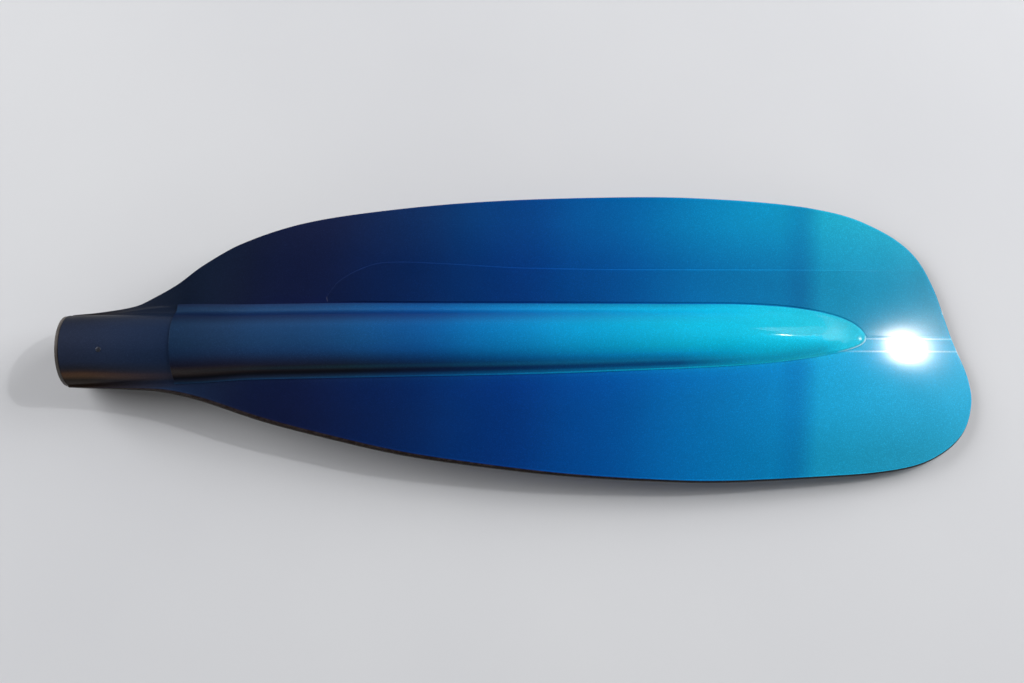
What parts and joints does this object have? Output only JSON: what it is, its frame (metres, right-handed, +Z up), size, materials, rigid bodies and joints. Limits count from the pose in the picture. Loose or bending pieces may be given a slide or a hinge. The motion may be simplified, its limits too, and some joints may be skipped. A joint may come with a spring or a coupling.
{
  "type": "kayak paddle blade",
  "caption": "Asymmetric foam-core kayak paddle blade with a raised spine on its back and a round socket neck for a shaft.",
  "frame": {"origin": "middle of the bounding box, on the surface that the blade lies on", "axes": "+X from the neck's mouth to the tip, +Y across the blade to its rounder far side, +Z up out of the back; the neck's axis runs along X"},
  "size_m": [0.5303, 0.1752, 0.0425],
  "materials": {
    "back_skin": "metallic blue paint under a gloss clear coat, navy by the neck and teal by the tip",
    "face_skin": "metallic blue paint under a gloss clear coat",
    "spine_cap": "lighter metallic blue paint under a gloss clear coat",
    "reinforcing_ply": "painted over with the back",
    "edge_bead": "dark resin-soaked rope, satin",
    "foam": "closed-cell foam",
    "liner": "moulded, satin",
    "pin": "brushed"
  },
  "bodies": {
    "root": {"back_skin": "back_skin", "face_skin": "face_skin", "spine_cap": "spine_cap", "reinforcing_ply": "reinforcing_ply", "edge_bead": "edge_bead", "spine_core": "foam", "upper_core": "foam", "lower_core": "foam", "socket_sleeve": "liner", "sleeve_plug": "liner", "sleeve_pin": "pin"}
  },
  "joints": []
}
